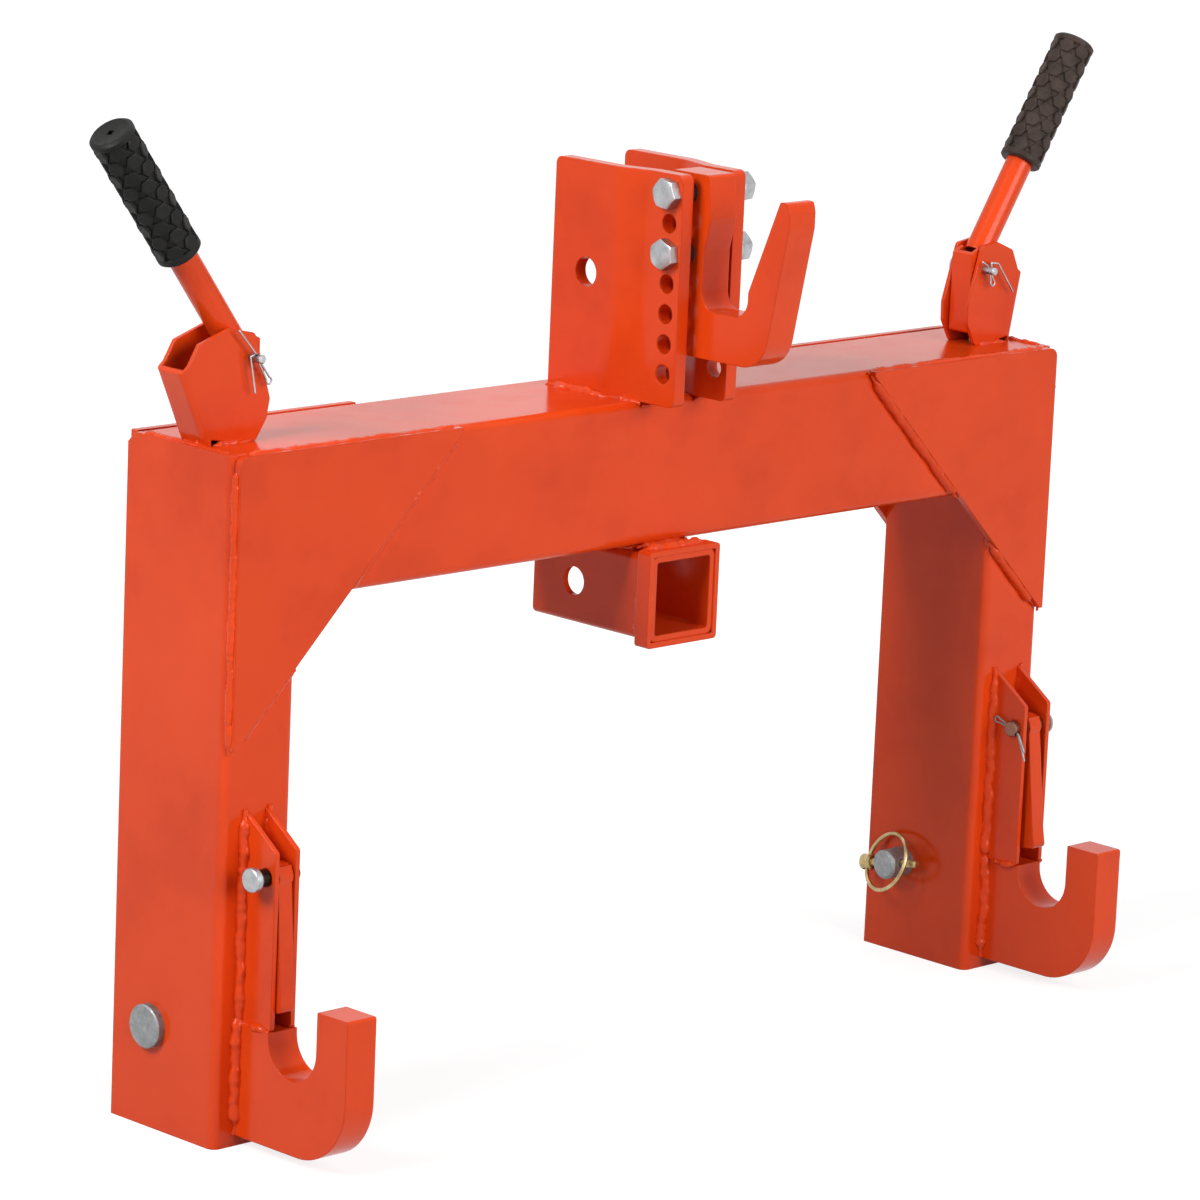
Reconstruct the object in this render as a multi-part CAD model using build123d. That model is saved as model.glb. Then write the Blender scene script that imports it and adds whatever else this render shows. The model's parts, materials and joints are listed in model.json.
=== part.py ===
from build123d import *
import math
import os

# Frame
overall_width = 794.0
beam_top = 466.0
beam_size = 101.6
beam_wall = 5.0
beam_corner = 5.5
leg_width = 60.0
leg_wall = 5.0
leg_bend = 6.0
flange_extra = 3.0
flange_corner = 7.0
gusset_leg = 200.0
gusset_thickness = 6.0
gusset_corner = 7.0
gusset_blunt = 3.0
gusset_inset = 2.0

# Mast and top hook
mast_height = 160.0
mast_thickness = 10.0
mast_rear_gap = 56.0
mast_front_gap = 40.0
mast_rear_y = 83.0
mast_overhang = 32.5
joggle_start_y = 24.0
joggle_end_y = -2.0
joggle_bend = 25.0
mast_corner = 5.0
top_link_y = 50.0
top_link_rise = 83.5
top_link_hole = 20.5
hole_column_y = -20.5
hole_count = 7
hole_pitch = 20.75
first_hole_rise = 22.2
bolt_hole = 13.5
bolt_positions = (4, 6)
bolt_size = 12.0
bolt_head_flats = 19.0
bolt_head_height = 7.5
nut_height = 10.0
bolt_thread_out = 4.0
washer_size = 24.0
washer_thickness = 2.5
spacer_size = 17.0
spacer_bore = 13.0
top_hook_thickness = 25.0
top_hook_rear_y = -3.0
top_hook_front_y = -40.0
top_hook_reach = 116.0
top_hook_foot = 34.5
top_nose_y = -42.5
top_nose_drop = 30.0
top_throat_rear_y = -37.5
top_throat_front_y = -81.0
top_throat_floor = 67.5
top_throat_corner = 13.0
top_throat_recess = 40.5
top_throat_wall = 18.5
top_tip_rise = 151.0
top_tip_inner_y = -107.0
top_tip_chamfer = 7.0
top_back_drop = 18.0
top_heel_y = -97.0
top_hook_heel = 24.0

# Receiver
receiver_size = 60.0
receiver_bore = 51.5
receiver_front_y = -21.0
receiver_rear_y = 97.0
receiver_pin_y = 57.0
receiver_pin_hole = 20.0
receiver_corner = 5.0
receiver_bore_corner = 2.0
collar_lip = 1.0
collar_corner = 3.0
collar_bore_corner = 0.8
collar_wall = 4.0
collar_length = 12.0
pad_thickness = 4.0
pad_width = 50.0
pad_length = 90.0

# Lower hooks and latches
hook_thickness = 25.0
hook_bottom = 8.0
hook_reach = 108.5
hook_tip_top = 110.5
hook_shoulder = 85.0
hook_throat_size = 47.0
hook_arm = 29.5
hook_floor = 50.5
hook_heel = 45.0
tip_round = 2.0
cheek_width_left = 21.3
cheek_width_right = 28.5
cheek_thickness = 3.6
cheek_depth = 31.5
cheek_rise = 39.7
cheek_slope = 22.0
latch_pivot_y = -22.5
latch_pivot_z = 188.3
latch_thickness = 12.0
latch_tilt_left = 4.0
latch_tilt_right = 7.0
latch_length = 91.0
latch_front = 7.0
latch_back = 7.5
latch_head = 7.0
latch_boss = 8.5
latch_crease = 14.0
latch_kink = 0.8
latch_arm_rest = 5.29
latch_arm_height = 18.0
latch_toe = 3.0
latch_pin_size = 12.0
latch_head_size = 16.5
latch_head_thickness = 5.5
latch_pin_length = 34.2
latch_gap_left = 8.5
latch_gap_right = 0.5
latch_split_inset = 2.6
latch_split_left = -12.0
latch_split_right = 60.0
latch_slot_margin = 5.0

# Side outlines of the lever housings: distance out from the lever pin, height above the beam
housing_left = (
    (37.0, 0.0),
    (-5.0, 0.0),
    (-14.0, 14.0),
    (-16.5, 27.0),
    (-8.0, 54.0),
    (-2.0, 71.5),
    (20.0, 76.0),
    (45.0, 67.5),
    (53.0, 54.0),
    (59.0, 49.0),
)
housing_right = (
    (33.2, 0.0),
    (-6.0, 0.0),
    (-15.0, 16.0),
    (-15.5, 30.0),
    (-7.0, 58.0),
    (-3.0, 72.5),
    (13.0, 75.0),
    (30.0, 68.0),
    (37.0, 53.0),
    (43.0, 49.0),
)

# Levers and pull rods
housing_width = 27.0
housing_wall = 3.0
housing_bend = 4.5
housing_y = 47.0
lever_inset = 13.0
lever_pin_rise = 55.5
lever_pin_size = 6.0
lever_pin_out = 11.0
lever_pin_head = 11.0
lever_pin_head_thickness = 3.0
fork_width = 19.0
fork_wall = 3.0
fork_back = 10.0
fork_tail = 47.0
fork_shoulder = 4.5
handle_lean_left = 36.5
handle_lean_right = 32.3
handle_size = 20.0
handle_wall = 2.0
handle_start = 12.0
grip_start = 88.0
grip_end = 190.0
grip_size = 29.5
grip_flange = 31.0
grip_flange_length = 6.0
grip_cap = 3.0
grip_hole = 3.0
rod_offset = 24.0
rod_rest_angle = 15.0
rod_size = 10.0
rod_hole = 14.0
rod_pin_size = 8.0
rod_pin_proud = 0.5
rod_eye_wall = 6.0
upper_eye_thickness = 8.0
lower_eye_thickness = 6.0
eye_slot_length = 11.0
rod_pin_head = 13.0
rod_pin_head_thickness = 3.0
rod_collar_size = 19.0
rod_collar_height = 6.0
rod_collar_rise = 10.0
spring_size = 19.0
spring_wire = 2.0
spring_turns = 10

# Lower link pins
link_pin_size = 22.0
link_pin_y = 66.6
link_pin_z = 70.4
link_head_size = 30.0
link_head_thickness = 6.0
link_pin_out = 22.0
link_pin_chamfer = 2.0
lynch_size = 6.0
lynch_hole = 6.8
lynch_inset = 10.0
lynch_tip = 25.5
lynch_head_size = 12.0
lynch_head_start = 19.5
lynch_head_length = 10.0
ring_size = 44.0
ring_wire = 3.0
ring_tilt = 8.0
ring_hole = 5.2
lynch_turn = -10.0
lynch_roll = 25.0

# Split pins
split_wire = 1.6
split_eye = 4.2

# Clearances
running_clearance = 0.05
loose_clearance = 0.3
side_clearance = 1.5

# Derived places, with y measured back from the front face of the legs
half_width = overall_width / 2
beam_bottom = beam_top - beam_size
flange_inner_x = half_width - leg_wall
leg_inner_x = half_width - leg_width
leg_centre_x = half_width - leg_width / 2
outer_flange_depth = beam_size + flange_extra
mast_top = beam_top + mast_height
hook_throat_y = -(hook_reach - hook_arm - hook_throat_size / 2)
hook_throat_z = hook_bottom + hook_floor + hook_throat_size / 2
cheek_top = latch_pivot_z + cheek_rise
lever_pin_x = leg_centre_x - lever_inset
rod_x = lever_pin_x + rod_offset
lever_pin_z = beam_top + lever_pin_rise
rod_top_z = lever_pin_z - rod_offset * math.tan(math.radians(rod_rest_angle))
latch_arm = housing_y - latch_pivot_y
rod_low_z = latch_pivot_z - latch_arm * math.tan(math.radians(latch_arm_rest))
rod_collar_z = beam_bottom + beam_wall + rod_collar_rise
receiver_z = beam_bottom - pad_thickness - receiver_size / 2
link_end_x = leg_inner_x - link_pin_out
lynch_x = link_end_x + lynch_inset
lynch_hinge_y = link_pin_y + lynch_head_start + lynch_head_length / 2
leg_front_y = (top_hook_reach - beam_size - gusset_thickness) / 2

os.makedirs("parts", exist_ok=True)


def outline(points, rounds=()):
    face = make_face(Polyline(*points, close=True))
    for index, radius in rounds:
        corner = face.vertices().sort_by_distance(Vector(*points[index]))[0]
        face = fillet(corner, radius)
    return face


def slab_x(face, x0, x1):
    return extrude(Plane.YZ.offset(x0) * face, amount=x1 - x0)


def slab_y(face, y0, y1):
    plane = Plane(origin=(0, y1, 0), x_dir=(1, 0, 0), z_dir=(0, -1, 0))
    return extrude(plane * face, amount=y1 - y0)


def slab_z(face, z0, z1):
    return extrude(Plane.XY.offset(z0) * face, amount=z1 - z0)


def bar_x(size, x0, x1, y, z):
    return Pos((x0 + x1) / 2, y, z) * Rot(0, 90, 0) * Cylinder(size / 2, abs(x1 - x0))


def bar_y(size, y0, y1, x, z):
    return Pos(x, (y0 + y1) / 2, z) * Rot(90, 0, 0) * Cylinder(size / 2, abs(y1 - y0))


def bar_z(size, z0, z1, x, y):
    return Pos(x, y, (z0 + z1) / 2) * Cylinder(size / 2, abs(z1 - z0))


def bar_between(size, start, end):
    start = Vector(*start)
    along = Vector(*end) - start
    plane = Plane(origin=start, z_dir=along)
    return extrude(plane * Circle(size / 2), amount=along.length)


def save(node, *solids):
    placed = [Pos(0, leg_front_y, 0) * solid for solid in solids]
    shape = placed[0] if len(placed) == 1 else Compound(children=placed)
    export_step(shape, f"parts/{node}.step")


def save_side(node, side, *solids):
    if side == "left":
        solids = [mirror(solid, about=Plane.YZ) for solid in solids]
    save(f"{side}_{node}", *solids)


# Cross beam: a square tube with a hole through top and bottom for each pull rod
def cross_beam():
    middle = (beam_size / 2, beam_top - beam_size / 2)
    inner = beam_size - 2 * beam_wall
    section = RectangleRounded(beam_size, beam_size, beam_corner)
    section -= RectangleRounded(inner, inner, beam_corner - beam_wall)
    tube = slab_x(Pos(*middle) * section, -flange_inner_x, flange_inner_x)
    for x in (-rod_x, rod_x):
        tube -= bar_z(rod_hole, beam_bottom - 1, beam_top + 1, x, housing_y)
    return tube


# Leg: a channel open to the rear, with its outer flange running up over the beam end
def leg():
    outer = outline(
        [
            (leg_inner_x, 0),
            (half_width, 0),
            (half_width, outer_flange_depth),
            (flange_inner_x, outer_flange_depth),
            (flange_inner_x, beam_size),
            (leg_inner_x, beam_size),
        ],
        [(0, leg_bend), (1, leg_bend)],
    )
    hollow = outline(
        [
            (leg_inner_x + leg_wall, leg_wall),
            (flange_inner_x, leg_wall),
            (flange_inner_x, outer_flange_depth + 1),
            (leg_inner_x + leg_wall, outer_flange_depth + 1),
        ],
        [(0, leg_bend - leg_wall), (1, leg_bend - leg_wall)],
    )
    channel = slab_z(outer - hollow, 0, beam_top)
    notch = outline(
        [
            (leg_inner_x - 1, beam_bottom),
            (flange_inner_x, beam_bottom),
            (flange_inner_x, beam_top + 1),
            (leg_inner_x - 1, beam_top + 1),
        ]
    )
    channel -= slab_y(notch, -1, outer_flange_depth + 1)
    corner = outline(
        [
            (outer_flange_depth, beam_top),
            (outer_flange_depth, beam_top - flange_corner),
            (outer_flange_depth - flange_corner, beam_top),
        ]
    )
    channel -= slab_x(corner, flange_inner_x - 1, half_width + 1)
    pin_hole = link_pin_size + 2 * running_clearance
    channel -= bar_x(pin_hole, leg_inner_x - 1, half_width + 1, link_pin_y, link_pin_z)
    slot_width = latch_thickness + 2 * side_clearance
    reach = abs(latch_pivot_y) * math.tan(math.radians(latch_arm_rest))
    slot_half = latch_arm_height / 2 + reach + latch_slot_margin
    slot = Rectangle(slot_width, 2 * slot_half)
    channel -= slab_y(Pos(leg_centre_x, latch_pivot_z) * slot, -1, leg_wall + 1)
    return channel


# Corner gusset: a triangle between leg and beam with blunt tips
def gusset(outer_x, y0, y1, corner):
    diagonal = half_width - gusset_leg + beam_top
    face = outline(
        [
            (outer_x, beam_top),
            (diagonal - beam_top + gusset_blunt, beam_top),
            (diagonal - beam_top + gusset_blunt, beam_top - gusset_blunt),
            (outer_x - gusset_blunt, diagonal - outer_x + gusset_blunt),
            (outer_x, diagonal - outer_x + gusset_blunt),
        ],
        [(0, corner)],
    )
    return slab_y(face, y0, y1)


# Heights of the row of holes that sets the height of the top hook
def hole_height(index):
    return beam_top + first_hole_rise + index * hole_pitch


# Mast plate: stands on the beam, stepped inward towards the front
def mast_plate():
    rear_x = mast_rear_gap / 2
    front_x = mast_front_gap / 2
    plan = outline(
        [
            (rear_x, mast_rear_y),
            (rear_x, joggle_start_y),
            (front_x, joggle_end_y),
            (front_x, -mast_overhang),
            (front_x + mast_thickness, -mast_overhang),
            (front_x + mast_thickness, joggle_end_y),
            (rear_x + mast_thickness, joggle_start_y),
            (rear_x + mast_thickness, mast_rear_y),
        ],
        [(1, joggle_bend), (2, joggle_bend), (5, joggle_bend), (6, joggle_bend)],
    )
    side = outline(
        [
            (mast_rear_y, beam_top),
            (mast_rear_y, mast_top),
            (-mast_overhang, mast_top),
            (-mast_overhang, beam_top),
        ],
        [(1, mast_corner), (2, mast_corner), (3, mast_corner)],
    )
    reach = rear_x + 2 * mast_thickness
    plate = slab_z(plan, beam_top, mast_top) & slab_x(side, 0, reach)
    plate -= bar_x(top_link_hole, 0, reach, top_link_y, beam_top + top_link_rise)
    for index in range(hole_count):
        plate -= bar_x(bolt_hole, 0, reach, hole_column_y, hole_height(index))
    return plate


# Top hook: a thick plate between the front parts of the mast plates
def top_hook():
    half = top_hook_thickness / 2
    foot_z = beam_top + top_hook_foot
    floor_z = beam_top + top_throat_floor
    tip_z = beam_top + top_tip_rise
    face = outline(
        [
            (top_hook_rear_y, foot_z),
            (top_hook_rear_y, mast_top),
            (top_hook_front_y, mast_top),
            (top_nose_y, mast_top - top_nose_drop),
            (top_throat_rear_y, floor_z + top_throat_recess),
            (top_throat_rear_y, floor_z),
            (top_throat_front_y, floor_z),
            (top_throat_front_y, floor_z + top_throat_wall),
            (top_tip_inner_y, tip_z),
            (-top_hook_reach + 2, tip_z),
            (-top_hook_reach, tip_z - top_tip_chamfer),
            (-top_hook_reach, tip_z - top_back_drop),
            (top_heel_y, foot_z),
        ],
        [
            (1, 3),
            (2, 3),
            (3, 3),
            (4, 4),
            (5, top_throat_corner),
            (6, top_throat_corner),
            (7, 3),
            (8, 2),
            (9, 3),
            (10, 4),
            (11, 8),
            (12, top_hook_heel),
        ],
    )
    plate = slab_x(face, -half, half)
    for index in bolt_positions:
        plate -= bar_x(bolt_hole, -half - 1, half + 1, hole_column_y, hole_height(index))
    return plate


# Fasteners of the top hook, one set for each bolt
def hexagon(flats, height, x, z):
    face = RegularPolygon(flats / math.sqrt(3), 6)
    return slab_x(Pos(hole_column_y, z) * face, x, x + height)


def ring_x(outer, inner, x0, x1, z):
    solid = bar_x(outer, x0, x1, hole_column_y, z)
    return solid - bar_x(inner, x0 - 1, x1 + 1, hole_column_y, z)


def top_hook_fasteners():
    gap = mast_front_gap / 2
    plate_x = gap + mast_thickness
    seat_x = plate_x + washer_thickness
    end_x = seat_x + nut_height + bolt_thread_out
    half = top_hook_thickness / 2
    bolts = []
    nuts = []
    washers = []
    spacers = []
    for index in bolt_positions:
        z = hole_height(index)
        head = hexagon(bolt_head_flats, bolt_head_height, -plate_x - bolt_head_height, z)
        shank = bar_x(bolt_size, -plate_x - 1, end_x, hole_column_y, z)
        bolts.append(head + shank)
        nut = hexagon(bolt_head_flats, nut_height, seat_x, z)
        nuts.append(nut - bar_x(bolt_size, seat_x - 1, end_x, hole_column_y, z))
        washer_bore = bolt_size + 2 * loose_clearance
        washers.append(ring_x(washer_size, washer_bore, plate_x, seat_x, z))
        spacers.append(ring_x(spacer_size, spacer_bore, -gap, -half, z))
        spacers.append(ring_x(spacer_size, spacer_bore, half, gap, z))
    return bolts, nuts, washers, spacers


# Receiver: a square socket under the beam, open at both ends, with a collar round its mouth
def receiver_tube():
    section = RectangleRounded(receiver_size, receiver_size, receiver_corner)
    section -= RectangleRounded(receiver_bore, receiver_bore, receiver_bore_corner)
    tube = slab_y(Pos(0, receiver_z) * section, receiver_front_y + collar_lip, receiver_rear_y)
    reach = receiver_size / 2 + 1
    return tube - bar_x(receiver_pin_hole, -reach, reach, receiver_pin_y, receiver_z)


def receiver_collar():
    size = receiver_size + 2 * collar_wall
    section = RectangleRounded(size, size, collar_corner)
    section -= RectangleRounded(receiver_size, receiver_size, collar_bore_corner)
    end_y = receiver_front_y + collar_length
    return slab_y(Pos(0, receiver_z) * section, receiver_front_y, end_y)


def receiver_pad():
    margin = (beam_size - pad_length) / 2
    face = Pos(0, beam_bottom - pad_thickness / 2) * Rectangle(pad_width, pad_thickness)
    return slab_y(face, margin, margin + pad_length)


# Lower hook: a thick plate on the front of the leg with an open throat
def lower_hook():
    face = outline(
        [
            (0, hook_bottom),
            (0, hook_shoulder),
            (hook_throat_y, hook_shoulder),
            (hook_throat_y, hook_tip_top),
            (-hook_reach, hook_tip_top),
            (-hook_reach, hook_bottom),
        ],
        [(4, tip_round), (5, hook_heel)],
    )
    rise = hook_tip_top - hook_throat_z + 1
    mouth = Pos(hook_throat_y, hook_throat_z + rise / 2) * Rectangle(hook_throat_size, rise)
    face -= Pos(hook_throat_y, hook_throat_z) * Circle(hook_throat_size / 2)
    face -= mouth
    half = hook_thickness / 2
    return slab_x(face, leg_centre_x - half, leg_centre_x + half)


# Latch cheeks: two plates that carry the latch pin above the hook
def latch_cheeks(width):
    face = outline(
        [
            (0, hook_shoulder),
            (0, cheek_top),
            (-cheek_depth, cheek_top - cheek_slope),
            (-cheek_depth, hook_shoulder),
        ],
        [(2, 3), (3, 3)],
    )
    bore = latch_pin_size + 2 * running_clearance
    face -= Pos(latch_pivot_y, latch_pivot_z) * Circle(bore / 2)
    half = width / 2
    inner = slab_x(face, leg_centre_x - half, leg_centre_x - half + cheek_thickness)
    outer = slab_x(face, leg_centre_x + half - cheek_thickness, leg_centre_x + half)
    return inner, outer


# Latch bar: hangs over the throat, with an arm through the leg to the pull rod
def latch_bar(lean):
    tilt = math.radians(lean)
    down = Vector(-math.sin(tilt), -math.cos(tilt))
    back = Vector(math.cos(tilt), -math.sin(tilt))
    pivot = Vector(latch_pivot_y, latch_pivot_z)
    rod_end = Vector(housing_y, rod_low_z)
    crease = down * (latch_length - latch_crease)
    toe = pivot + down * latch_length - back * latch_kink
    corners = [
        pivot - back * latch_front - down * latch_head,
        pivot - back * latch_front + crease,
        toe - back * latch_front,
        toe + back * latch_back,
        pivot + back * latch_back + crease,
        pivot + back * latch_back - down * latch_head,
    ]
    bar = outline([(c.X, c.Y) for c in corners], [(2, latch_toe), (3, latch_toe)])
    along = rod_end - pivot
    aside = Vector(-along.Y, along.X).normalized() * (latch_arm_height / 2)
    ends = [pivot + aside, rod_end + aside, rod_end - aside, pivot - aside]
    face = bar + outline([(e.X, e.Y) for e in ends])
    face += Pos(pivot.X, pivot.Y) * Circle(latch_boss)
    face += Pos(rod_end.X, rod_end.Y) * Circle(latch_arm_height / 2)
    bore = latch_pin_size + 2 * running_clearance
    face -= Pos(pivot.X, pivot.Y) * Circle(bore / 2)
    face -= Pos(rod_end.X, rod_end.Y) * Circle(rod_pin_size / 2)
    half = latch_thickness / 2
    return slab_x(face, leg_centre_x - half, leg_centre_x + half)


# Latch pin: head on the outer side, split pin near its inner end, loose in the cheeks
def latch_pin(outer_x, turn):
    inner_x = outer_x - latch_pin_length
    head = bar_x(latch_head_size, outer_x, outer_x + latch_head_thickness, latch_pivot_y, latch_pivot_z)
    shank = bar_x(latch_pin_size, inner_x, outer_x, latch_pivot_y, latch_pivot_z)
    tip = shank.faces().sort_by(Axis.X)[0].edges()
    pin = chamfer(tip, 1.0) + chamfer(head.edges(), 0.8)
    return pin - latch_split_frame(outer_x, turn) * Cylinder(split_wire + loose_clearance, 2 * latch_pin_size)


def latch_split_frame(outer_x, turn):
    tip_x = outer_x - latch_pin_length
    angle = math.radians(turn)
    along = (0, math.sin(angle), math.cos(angle))
    across = (0, -math.cos(angle), math.sin(angle))
    return Plane(origin=(tip_x + latch_split_inset, latch_pivot_y, latch_pivot_z), x_dir=across, z_dir=along)


# Split pin: an eye, a closed stem and two legs that spread past the pin
def split_pin(length, above, spread):
    stem = 2 * split_wire
    start = split_wire / 2
    pin = Pos(0, 0, above + split_eye) * Rot(90, 0, 0) * Torus(split_eye, split_wire * 0.6)
    pin += bar_z(stem, -above, above + split_wire / 2, 0, 0)
    for foot in (start + spread, -start - spread / 3):
        side = math.copysign(start, foot)
        pin += bar_between(split_wire * 0.9, (side, 0, -above + 1), (foot, 0, -length))
    return pin


# Lever housing: a bent bracket on the beam, closed on the outer side
def lever_housing(profile):
    places = [(lever_pin_x + out, beam_top + rise) for out, rise in profile]
    foot = places[0]
    crown = places[-1]
    front = housing_y - housing_width / 2
    rear = housing_y + housing_width / 2
    rounds = [(1, 3), (2, 4), (3, 4), (4, 4), (5, 4), (6, 4), (7, 3)]
    bracket = slab_y(outline(places, rounds), front, rear)
    wall = housing_wall * math.hypot(crown[0] - foot[0], crown[1] - foot[1]) / (crown[1] - foot[1])
    slope = (crown[0] - foot[0]) / (crown[1] - foot[1])
    high = 2 * lever_pin_z - beam_top
    open_x = lever_pin_x - lever_pin_rise
    low = beam_top - 1
    inside = outline(
        [
            (foot[0] - wall - slope, low),
            (crown[0] - wall, crown[1]),
            (crown[0] - wall, high),
            (open_x, high),
            (open_x, low),
        ]
    )
    bends = [e for e in bracket.edges().filter_by(GeomType.LINE) if on_closed_end(e, foot, crown)]
    bracket = fillet(bends, housing_bend)
    bracket -= slab_y(inside, front + housing_wall, rear - housing_wall)
    gap = outline([(places[1][0] + 4, low), (foot[0] - 4, low), (foot[0] - 4, beam_top + 4)])
    bracket -= slab_y(gap, front - 1, rear + 1)
    bore = lever_pin_size + 2 * running_clearance
    return bracket - bar_y(bore, front - 1, rear + 1, lever_pin_x, lever_pin_z)


def on_closed_end(edge, foot, crown):
    ends = sorted([(v.Z, v.X) for v in edge.vertices()])
    low = abs(ends[0][0] - foot[1]) + abs(ends[0][1] - foot[0])
    high = abs(ends[-1][0] - crown[1]) + abs(ends[-1][1] - crown[0])
    return low + high < 0.1


# Lever pin: head at the rear, split pin at the front
def lever_pin():
    front = housing_y - housing_width / 2 - lever_pin_out
    rear = housing_y + housing_width / 2
    shank = bar_y(lever_pin_size, front, rear + 1, lever_pin_x, lever_pin_z)
    tip = shank.faces().sort_by(Axis.Y)[0].edges()
    head = bar_y(lever_pin_head, rear, rear + lever_pin_head_thickness, lever_pin_x, lever_pin_z)
    pin = chamfer(tip, 0.8) + head
    return pin - lever_split_frame() * Cylinder(split_wire + loose_clearance, 2 * lever_pin_size)


def lever_split_frame():
    y = housing_y - housing_width / 2 - lever_pin_out / 2
    origin = (lever_pin_x, y, lever_pin_z)
    return Plane(origin=origin, x_dir=(0.85, 0, -0.53), z_dir=(-0.53, 0, -0.85))


# Lever fork: a bent bracket on the lever pin, cut square at the top for the handle
def lever_fork(lean):
    tilt = math.radians(lean)
    up = Vector(math.sin(tilt), math.cos(tilt))
    side = Vector(math.cos(tilt), -math.sin(tilt))
    seat = up * handle_start
    far = seat + side * (handle_size / 2)
    near = seat - side * (handle_size / 2)
    drop = rod_top_z - lever_pin_z
    eye = rod_pin_size / 2 + rod_eye_wall
    points = [
        (-fork_back, -fork_tail),
        (-fork_back, near.Y - fork_shoulder),
        (near.X, near.Y),
        (far.X, far.Y),
        (rod_offset + eye, drop + 4),
        (rod_offset + eye, drop - eye),
        (rod_offset - eye, drop - eye),
        (-fork_back + 2 * fork_wall, -fork_tail),
    ]
    places = [(lever_pin_x + o, lever_pin_z + rise) for o, rise in points]
    face = outline(places, [(0, 2), (4, 4), (5, 6)])
    front = housing_y - fork_width / 2
    rear = housing_y + fork_width / 2
    fork = slab_y(face, front, rear)
    web_x = lever_pin_x - fork_back + fork_wall
    reach = fork_tail + rod_offset
    gap = outline(
        [
            (web_x, lever_pin_z - reach),
            (lever_pin_x + reach, lever_pin_z - reach),
            (lever_pin_x + reach, lever_pin_z + reach),
            (web_x, lever_pin_z + reach),
        ]
    )
    fork -= slab_y(gap, front + fork_wall, rear - fork_wall)
    bore = lever_pin_size + 2 * running_clearance
    fork -= bar_y(bore, front - 1, rear + 1, lever_pin_x, lever_pin_z)
    return fork - bar_y(rod_pin_size, front - 1, rear + 1, rod_x, rod_top_z)


def handle_plane(lean, distance):
    tilt = math.radians(lean)
    along = Vector(math.sin(tilt), 0, math.cos(tilt))
    origin = Vector(lever_pin_x, housing_y, lever_pin_z) + along * distance
    return Plane(origin=origin, x_dir=(0, 1, 0), z_dir=along)


def handle_tube(lean):
    section = Circle(handle_size / 2) - Circle(handle_size / 2 - handle_wall)
    return extrude(handle_plane(lean, handle_start) * section, amount=grip_end - grip_cap - handle_start)


# Hand grip: a sleeve with a flange at each end and a vented cap
def hand_grip(lean):
    length = grip_end - grip_start
    sleeve = extrude(handle_plane(lean, grip_start) * Circle(grip_size / 2), amount=length)
    flange = Circle(grip_flange / 2)
    for start in (grip_start, grip_end - grip_flange_length):
        sleeve += extrude(handle_plane(lean, start) * flange, amount=grip_flange_length)
    bore = Circle(handle_size / 2)
    sleeve -= extrude(handle_plane(lean, grip_start - 1) * bore, amount=length + 1 - grip_cap)
    vent = Circle(grip_hole / 2)
    return sleeve - extrude(handle_plane(lean, grip_start) * vent, amount=length + 1)


def lever_rod_pin():
    front = housing_y - fork_width / 2
    rear = housing_y + fork_width / 2
    return bar_y(rod_pin_size, front - rod_pin_proud, rear + rod_pin_proud, rod_x, rod_top_z)


# Pull rod: a round bar with a flattened, slotted eye at each end
def pull_rod():
    eye = rod_pin_size / 2 + rod_eye_wall
    height = rod_pin_size + 2 * loose_clearance
    slot = SlotOverall(eye_slot_length, height)
    upper = Circle(eye) + Pos(0, -eye) * Rectangle(rod_size, 2 * eye)
    upper = Pos(rod_x, rod_top_z) * (upper - slot)
    lower = Circle(eye) + Pos(0, eye) * Rectangle(rod_size, 2 * eye)
    lower = Pos(housing_y, rod_low_z) * (lower - slot)
    half = upper_eye_thickness / 2
    rod = slab_y(upper, housing_y - half, housing_y + half)
    half = lower_eye_thickness / 2
    rod += slab_x(lower, rod_x - half, rod_x + half)
    return rod + bar_z(rod_size, rod_low_z + eye + 2, rod_top_z - eye - 2, rod_x, housing_y)


def spring_collar():
    collar = bar_z(rod_collar_size, rod_collar_z, rod_collar_z + rod_collar_height, rod_x, housing_y)
    return collar - bar_z(rod_size, rod_collar_z - 1, rod_collar_z + rod_collar_height + 1, rod_x, housing_y)


# Return spring: tilted half turns between the rod collar and the underside of the beam top
def return_spring():
    low = rod_collar_z + rod_collar_height + spring_wire / 2
    high = beam_top - beam_wall - spring_wire / 2
    radius = (spring_size - spring_wire) / 2
    rise = (high - low) / spring_turns / 4
    tilt = math.degrees(math.atan(rise / radius))
    section = Plane.XZ * Pos(math.hypot(radius, rise), 0) * Circle(spring_wire / 2)
    half_turn = Rot(0, tilt, 0) * revolve(section, axis=Axis.Z, revolution_arc=180)
    halves = []
    for index in range(2 * spring_turns):
        middle = low + rise * (2 * index + 1)
        halves.append(Pos(rod_x, housing_y, middle) * Rot(0, 0, 180 * index) * half_turn)
    return halves[0].fuse(*halves[1:])


def latch_rod_pin():
    inner = leg_centre_x - latch_thickness / 2
    outer = rod_x + lower_eye_thickness / 2 + side_clearance
    shank = bar_x(rod_pin_size, inner, outer, housing_y, rod_low_z)
    return shank + bar_x(rod_pin_head, outer, outer + rod_pin_head_thickness, housing_y, rod_low_z)


# Lower link pin: head on the outer face of the leg, lynch pin past the inner face
def link_pin():
    head = bar_x(link_head_size, half_width, half_width + link_head_thickness, link_pin_y, link_pin_z)
    shank = bar_x(link_pin_size, link_end_x, half_width, link_pin_y, link_pin_z)
    tip = shank.faces().sort_by(Axis.X)[0].edges()
    rim = head.faces().sort_by(Axis.X)[-1].edges()
    pin = chamfer(tip, link_pin_chamfer) + chamfer(rim, 1.0)
    reach = link_pin_size / 2 + 1
    hole = bar_y(lynch_hole, link_pin_y - reach, link_pin_y + reach, lynch_x, link_pin_z)
    return pin - turned(hole)


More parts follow.
